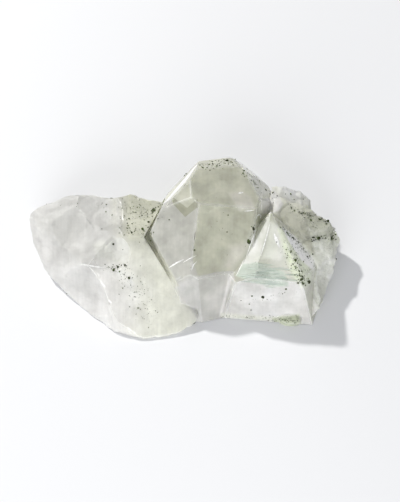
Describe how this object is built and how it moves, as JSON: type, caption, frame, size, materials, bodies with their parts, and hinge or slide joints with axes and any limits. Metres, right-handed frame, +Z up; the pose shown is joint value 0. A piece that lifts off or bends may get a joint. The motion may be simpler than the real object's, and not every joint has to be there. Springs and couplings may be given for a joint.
{
  "type": "chlorite quartz crystal cluster",
  "caption": "Natural cluster of blunt, clear to milky quartz crystals grown together, speckled with green chlorite, lying on a flat base.",
  "frame": {"origin": "on the table, under the middle of the cluster", "axes": "+X to the right along the cluster's length, +Y to the back, +Z up; the main crystal's tip points to +Y and up"},
  "size_m": [0.0906, 0.0508, 0.0247],
  "materials": {
    "quartz": "natural crystal faces, glossy, with milky broken surfaces",
    "chlorite": null
  },
  "bodies": {
    "root": {"quartz_cluster": "quartz"}
  },
  "joints": []
}
